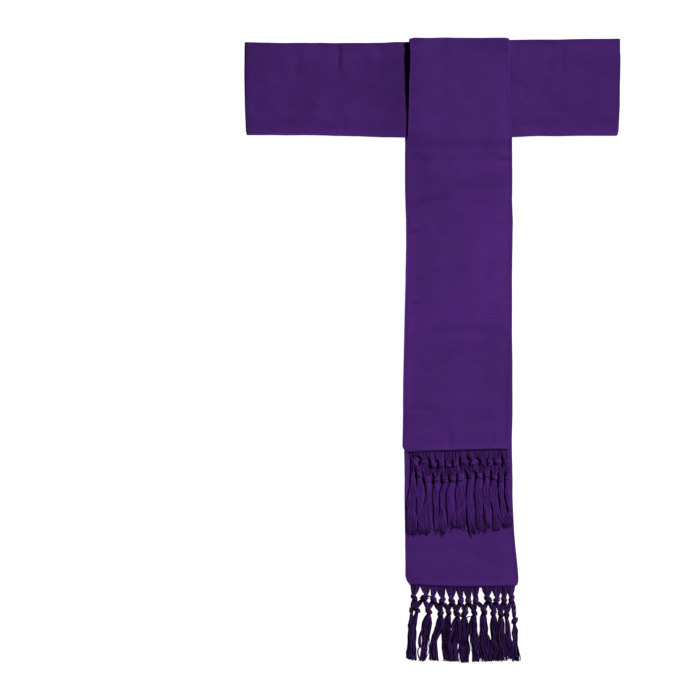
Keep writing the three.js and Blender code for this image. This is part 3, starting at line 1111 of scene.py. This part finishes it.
class Fringe:
    """One knotted fringe: yarns from the hem gather to knots, which share theirs out to a second row of
    knots, and a tassel hangs from each of those."""

    def __init__(self, hem, rest, look, seed):
        self.hem = hem
        self.rest = rest
        self.look = look
        self.up = np.array([0, 0, look.flat])
        self.draw = np.random.default_rng(seed)
        self.top = Strands()
        self.ends = Strands()

    def points(self, x, drop, z, radius=0):
        """Points from places across the tail, drops from the hem line and heights above what it lies on."""
        z = self.rest + np.maximum(z * self.look.flat, radius)
        return stacked(x + TAILS_X, hem_line(self.hem, x) - drop, z)

    def beside(self, line, side, across, above):
        """Paths at places across a line and above it, as flat as the fringe is."""
        return line + across[..., None] * side + above[..., None] * self.up

    def spread(self, size, *shape):
        return size * self.draw.standard_normal(shape)

    def tints(self, count, drop, shade=0.0, contrast=None):
        """Tints of yarns at a drop from the hem: they grow darker or paler down to their tassels. A darker
        shade is painted shade, and the spread between yarns is random tone.
        """
        look = self.look
        here = look.hem_shade + (look.foot_shade - look.hem_shade) * min(drop / SHADE_DROP, 1)
        uneven = self.spread(look.contrast if contrast is None else contrast, count)
        return np.clip(0.5 + here + shade + uneven, 0, 1)

    def fan(self, group, first):
        """Two layers of yarns that come out of the hem side by side and gather at the knot."""
        neck_drop = group.drop - group.tall * FAN_AT
        neck_x = group.x - leaning(group, FAN_AT)
        t = np.linspace(0, 1, 10)
        puff = np.sin(math.pi * t) ** 0.7
        for side, size, pitch in FAN_LAYERS:
            size = size * (self.look.first if first else 1)
            wide = group.right - group.left - 2 * size
            count = round(wide / pitch) + 1
            share = np.linspace(0, 1, count)
            hem_x = group.left + size + wide * share + self.spread(0.05 + 0.03 * side, count)
            hem_z = (0.66 + 0.14 * side) / self.look.flat + self.spread(0.05, count)
            lock = (share * round(wide / FAN_LOCK_WIDTH)) % 1 * 2 - 1
            angle = side * math.pi * (1 - share)
            neck_z = 1.9 + 1.15 * np.sin(angle)
            pull = t**self.look.pinch
            gathered = neck_x + (self.look.neck - 0.2) * np.cos(angle)
            x = hem_x[:, None] + (gathered - hem_x)[:, None] * pull
            x = x + (self.spread(0.12 + 0.09 * side, count, 1) - 0.15 * (1 + side) * lock[:, None]) * puff
            z = hem_z[:, None] + (neck_z - hem_z)[:, None] * t**1.4
            z = z + (0.30 - 0.34 * lock[:, None] ** 2 + self.spread(0.08, count, 1)) * puff
            if first:
                z = z * (0.2 + 0.8 * np.minimum(share * 1.5, 1))[:, None]
            drop = -1.2 + (neck_drop + 1.2) * t
            # Painted shade: the lower layer and the yarns at the edges of locks are darker, as if in the
            # shadow of the rest.
            tints = self.tints(count, 5, 0.18 * side - 0.16 - 0.10 * lock**2)
            self.top.add(self.points(x, drop, z, size), size, tints)

    def knot(self, spot, crossing):
        """A tight overhand knot: a bead of slantwise wraps, of a few yarns each, round its bundle."""
        turn = math.radians(spot.lean)
        wide = spot.wide * self.look.girth
        centre = self.points(spot.x, spot.drop, wide * 0.42)
        down = np.array([math.sin(turn), -math.cos(turn), 0])
        side = np.array([math.cos(turn), math.sin(turn), 0])
        half = wide / 2 - 0.1
        tall = spot.tall / 2

        t = np.linspace(-1.15, 1.15, 9)
        core = (half - 0.35) * 0.86 * self.look.flat * np.sqrt(1 - 0.62 * t**2)
        line = centre + (t * tall)[:, None] * down
        # Painted shade: the core, seen between the wraps, is darker.
        self.top.add(line[None], core, self.tints(1, spot.drop, -0.4), sides=10)

        angle = circle(CORE_YARNS) + crossing * 0.5 * t
        swell = np.minimum(self.look.neck - YARN_SIZE + 0.9 * (1.15 - np.abs(t)), half * 0.9)
        paths = self.beside(line, side, np.cos(angle) * swell, np.sin(angle) * swell * 0.8)
        self.top.add(paths, YARN_SIZE, self.tints(CORE_YARNS, spot.drop))

        wraps = max(2, round(spot.tall / WRAP_HEIGHT))
        sweep = np.linspace(-0.1, 2 * math.pi + 0.1, 24)
        for wrap in range(wraps):
            yarn = np.arange(WRAP_YARNS)[:, None] / (WRAP_YARNS - 1) * 2 - 1
            middle = (wrap - (wraps - 1) / 2) * 1.5 / wraps * tall
            axial = middle + yarn * 0.52 * tall / wraps
            slant = crossing * wide * (0.20 + 0.05 * self.draw.standard_normal())
            girth = np.sqrt(1 - 0.5 * (axial / tall) ** 2) * half + 0.22 * (1 - yarn**2) - 0.08
            axial = axial - slant * np.cos(sweep + self.draw.uniform(-0.4, 0.4))
            girth = girth + self.spread(0.05, WRAP_YARNS, 1)
            line = centre + axial[..., None] * down
            paths = self.beside(line, side, girth * np.cos(sweep), girth * np.sin(sweep) * 0.86)
            paths[..., 2] = np.maximum(paths[..., 2], self.rest + YARN_SIZE)
            self.top.add(paths, YARN_SIZE, self.tints(WRAP_YARNS, spot.drop), reference=down)

    def leg(self, upper, lower):
        """Half of a knot's yarns, on their way to a knot of the second row."""
        way = 1 if lower.x > upper.x else -1
        t = np.linspace(0, 1, 12)
        puff = np.sin(math.pi * t) ** 0.6
        start_x = upper.x + way * 0.9 + leaning(upper, LEAN_AT)
        end_x = lower.x - way * 0.9 - leaning(lower, LEAN_AT)
        start_drop = upper.drop + upper.tall * LEG_AT
        end_drop = lower.drop - lower.tall * LEG_AT
        x = start_x + (end_x - start_x) * (0.5 * ease(t) + 0.5 * t) + way * 0.35 * np.sin(math.pi * t)
        drop = start_drop + (end_drop - start_drop) * t
        middle = self.points(x, drop, 1.75 + 0.4 * np.abs(2 * t - 1) ** 2)
        side = unit(np.cross(unit(np.gradient(middle, axis=0)), [0, 0, 1]))
        half = min(self.look.leg, lower.wide * self.look.girth * 0.42)
        core = (0.8 + 0.6 * puff) * self.look.flat
        # Painted shade: the core, seen between the leg's yarns, is darker.
        self.top.add(middle[None], core, self.tints(1, upper.drop, -0.25), sides=8)
        angle = circle(LEG_YARNS) + self.draw.uniform(-0.9, 0.9) * t
        loose = 1 + self.spread(0.07, LEG_YARNS, 1) * puff
        across = np.cos(angle) * loose * (0.95 + (half - YARN_SIZE - 0.95) * puff)
        above = np.sin(angle) * loose * (0.95 + 0.30 * puff)
        paths = self.beside(middle, side, across, above)
        self.top.add(paths, YARN_SIZE, self.tints(LEG_YARNS, upper.drop))

    def tassel(self, spot):
        """Cut yarns that spread from the knot and hang in a few locks, to a nearly level foot."""
        start = spot.drop + spot.tall * TASSEL_AT
        top_x = spot.x + leaning(spot, LEAN_AT)
        fall = spot.foot_drop - start
        near = max(NEAR_DROP - start, 8) / fall
        mid = (MID_DROP - start) / fall
        t = np.linspace(0, 1, 25)
        bend = np.polyfit([0, near, mid, 1], [top_x, spot.near_x, spot.mid_x, spot.foot_x], 3)
        stops = [0, near * 0.45, near, mid, 1]
        widths = [2 * self.look.neck, spot.near_wide * 0.84, spot.near_wide, spot.mid_wide, spot.foot_wide]
        seed = int(self.draw.integers(1 << 30))
        fallen = fall * t
        half = np.interp(t, stops, widths) / 2 * (1 + 0.07 * ripple(seed + 20, 22, fallen))
        flatten = ease(t / max(0.3, 1.2 * near))
        loosen = ease(t * 3.5)
        middle = np.polyval(bend, t) + 0.35 * loosen * ripple(seed + 21, 30, fallen)
        thin = 1 - self.look.thinning * ease((t - THIN_FROM) / (1 - THIN_FROM))
        low = 0
        for place, layer in enumerate(LAYERS):
            count = round(max(spot.near_wide, spot.mid_wide, spot.foot_wide) / layer.pitch)
            share = (np.arange(count) + 0.5) / count
            across = (share * 2 - 1)[:, None] * (1 - 0.05 * place) + self.spread(layer.uneven, count, 1)
            locks = max(2, round(count * layer.pitch / LOCK_WIDTH))
            huddled = ((share * locks).astype(int) + 0.5)[:, None] / locks * 2 - 1
            across = across + layer.huddle * self.look.huddle * loosen * (huddled - across)
            across = across + self.spread(layer.drift, count, 1) * t
            foot = spot.foot_drop + self.spread(self.look.ragged, count, 1)
            drop = start + (foot - start) * t
            x = middle + across * (half - layer.size)
            sway = ripple(seed + place, 25, 9 * across, drop) + 0.5 * ripple(seed + 5, 11, 9 * across, drop)
            x = x + layer.sway * loosen * sway * (1 - 0.3 * np.abs(across))
            splay = self.spread(0.35 + 0.5 * self.look.ragged, count, 1)
            x = x + splay * np.clip((t - SPLAY_FROM) / (1 - SPLAY_FROM), 0, 1) ** 2
            low = low + layer.size
            angle = math.pi * (1 - share) * layer.side
            high = 1.9 + 1.2 * np.sin(angle)[:, None]
            heap = 0.16 * place * (1 + ripple(seed + 9 + place, 16, 9 * across, drop))
            resting = low + np.maximum(heap, 0)
            z = (resting * flatten + high * (1 - flatten)) * thin * (1 - 0.3 * across**2)
            low = low + layer.size * 0.7
            size = layer.size * np.sqrt(thin)
            tints = self.tints(count, start, layer.shade, self.look.streaks)
            self.ends.add(self.points(x, drop, z, size), size, tints)

    def stray(self, stray):
        """A loose lock of yarns along a smooth curve through a few places."""
        stops = np.linspace(0, 1, len(stray.route))
        t = np.linspace(0, 1, 16)
        x, drop = (np.polyval(np.polyfit(stops, column, 3), t) for column in zip(*stray.route))
        x = x + (np.arange(stray.yarns) - (stray.yarns - 1) / 2)[:, None] * 1.6 * stray.radius
        tints = self.tints(stray.yarns, SHADE_DROP, stray.shade)
        self.ends.add(self.points(x, drop, 0, stray.radius), stray.radius, tints, sides=6)

    def shadow_cord(self, left, right):
        """A near-black cord under the hem, where the yarns come out: a painted shadow of the hem on them."""
        x = np.linspace(left, right, 60)
        paths = self.points(x, 0.55, 0.80 / self.look.flat)[None]
        self.top.add(paths, SHADOW_CORD_SIZE, np.zeros(1), sides=6)

    def make(self, name, groups, tassels, strays):
        """The two pieces of the fringe: its knots, with all that is above the tassels, and its tassels."""
        groups = [Group(*row) for row in groups]
        tassels = [Tassel(*row) for row in tassels]
        # A near-black cord under the hem paints the hem's shadow.
        self.shadow_cord(groups[0].left - 0.6, groups[-1].right + 0.6)
        for place, group in enumerate(groups):
            self.fan(group, place == 0)
            self.knot(group, 1 if place % 2 else -1)
            self.leg(group, tassels[place])
            self.leg(group, tassels[place + 1])
        for place, spot in enumerate(tassels):
            self.knot(spot, -1 if place % 3 else 1)
            self.tassel(spot)
        for row in strays:
            self.stray(Stray(*row))
        knots = wear(self.top.build(name + "_knots", YARN), "yarn", name)
        ends = wear(self.ends.build(name + "_tassels", YARN), "yarn", name)
        return [knots, ends]


# --- stitches ---


def stitch_row(strands, route, up, draw):
    """Topstitching along a route of closely spaced points: one short raised thread after another."""
    gone = running_length(route)
    starts = np.arange(STITCH_PITCH * 0.5, gone[-1] - STITCH_PITCH, STITCH_PITCH)
    t = np.linspace(0, 1, 5)
    at = starts[:, None] + STITCH_PITCH * (0.10 + 0.80 * t) + 0.12 * draw.standard_normal((len(starts), 1))
    paths = np.stack([np.interp(at, gone, route[:, axis]) for axis in range(3)], -1)
    paths = paths + (STITCH_RISE * np.sin(math.pi * t) - 0.06)[None, :, None] * up
    strands.add(paths, STITCH_SIZE, np.clip(0.5 + 0.2 * draw.standard_normal(len(starts)), 0, 1))


def make_stitches(band_top, band_path, front_grids, under_grids):
    """Topstitching wherever a face of the cloth lies open or rests on the floor."""
    draw = np.random.default_rng(91)
    column = EDGE_STEPS.index(STITCH_INSET)
    level_column = EDGE_STEPS.index(1.9)  # its height tells which rows lie open
    up = np.array([0, 0, 1])
    under_up = -0.4 * up  # the garment's weight presses the stitches of its underside flat
    along, height = band_path.T
    flat = np.abs(along) < BAND_TURN - 1
    upper = flat & (height > LEVEL[1] - 0.01)
    seams = [
        ("stitching_band_right", band_top, upper & (along > HIDDEN_RIGHT + 4), up),
        ("stitching_band_left", band_top, upper & (along < HIDDEN_LEFT - 4), up),
        ("stitching_band_back", band_top, flat & (height < LEVEL[0] + 0.01), under_up),
    ]
    for name, grid, low, high, above, towards in (
        ("stitching_front", front_grids[1], FRONT_HEM.y + 3, TURN_Y, LEVEL[1], up),
        ("stitching_under", under_grids[0], UNDER_HEM.y + 3, UNDER_SHOWS_TO + 2, 0, up),
        ("stitching_under_back", under_grids[1], UNDER_HEM.y + 3, UNDER_STEP[0] - 14, -WALL, under_up),
    ):
        y, z = grid[:, 0, 1], grid[:, level_column, 2]
        seams.append((name, grid, (y > low) & (y < high) & (z > above), towards))

    pieces = {}
    for name, grid, keep, towards in seams:
        strands = Strands()
        for route in (grid[keep, column], grid[keep, -1 - column]):
            stitch_row(strands, route, towards, draw)
        pieces[name] = wear(strands.build(name, SEWING), "yarn")
    return pieces


# --- building the garment ---

(band, band_grids), band_path = make_waistband()
(front, front_grids), (under, under_grids) = make_tails()
stitches = make_stitches(band_grids[0], band_path, front_grids, under_grids)
front_fringe = Fringe(FRONT_HEM, LEVEL[1] - WALL / 2, FRONT_LOOK, seed=101)
under_fringe = Fringe(UNDER_HEM, 0, UNDER_LOOK, seed=103)
front_yarns = front_fringe.make("fringe_front", FRONT_GROUPS, FRONT_TASSELS, FRONT_STRAYS)
under_yarns = under_fringe.make("fringe_under", UNDER_GROUPS, UNDER_TASSELS, UNDER_STRAYS)

# --- floor and lighting ---

FLOOR_HALF = 30000
FLOOR_DROP = 0.1  # below the garment
FLOOR_COLOUR = (0.12, 0.12, 0.12, 1)
KEY_FROM = Vector((1.0, 0.9, 1.0))
KEY_DISTANCE = 12  # metres, like the next
KEY_SIZE = 1.5
KEY_POWER = 2880
FILL = 0.04  # overhead light, as a share of full
HORIZON = 0.85  # the pale surroundings low down


def make_floor():
    """A pale floor that glows a little, like a light table, so that it stays white beside the cloth."""
    material, nodes, shader = new_material("pale_floor")
    nodes.feed(shader, {
        "Base Color": FLOOR_COLOUR,
        "Roughness": 0.9,
        "Specular IOR Level": 0.0,
        "Emission Color": WHITE,
        "Emission Strength": 1.0,
    })
    points = [(x * FLOOR_HALF, y * FLOOR_HALF, -FLOOR_DROP) for x, y in ((-1, -1), (1, -1), (1, 1), (-1, 1))]
    add_mesh("floor", np.array(points), [np.array([[0, 1, 2, 3]])], material, {})


def make_lights():
    """A softbox from the upper right, and pale surroundings that are dimmer overhead."""
    data = bpy.data.lights.new("key", "AREA")
    data.size = KEY_SIZE
    data.energy = KEY_POWER
    key = add_object("key", data)
    key.location = KEY_FROM.normalized() * KEY_DISTANCE
    key.rotation_euler = KEY_FROM.to_track_quat("Z", "Y").to_euler()

    world = bpy.data.worlds.new("surroundings")
    bpy.context.scene.world = world
    world.use_nodes = True
    nodes = Nodes(world.node_tree)
    towards = nodes.add("ShaderNodeTexCoord", {})["Generated"]
    height = nodes.add("ShaderNodeSeparateXYZ", {0: towards})[2]
    strength = nodes.swing(height, HORIZON, FILL, start=0.04, stop=0.16)
    nodes.feed(world.node_tree.nodes["Background"], {"Strength": strength, "Color": WHITE})


make_floor()
make_lights()
bpy.context.scene.view_settings.view_transform = "Standard"
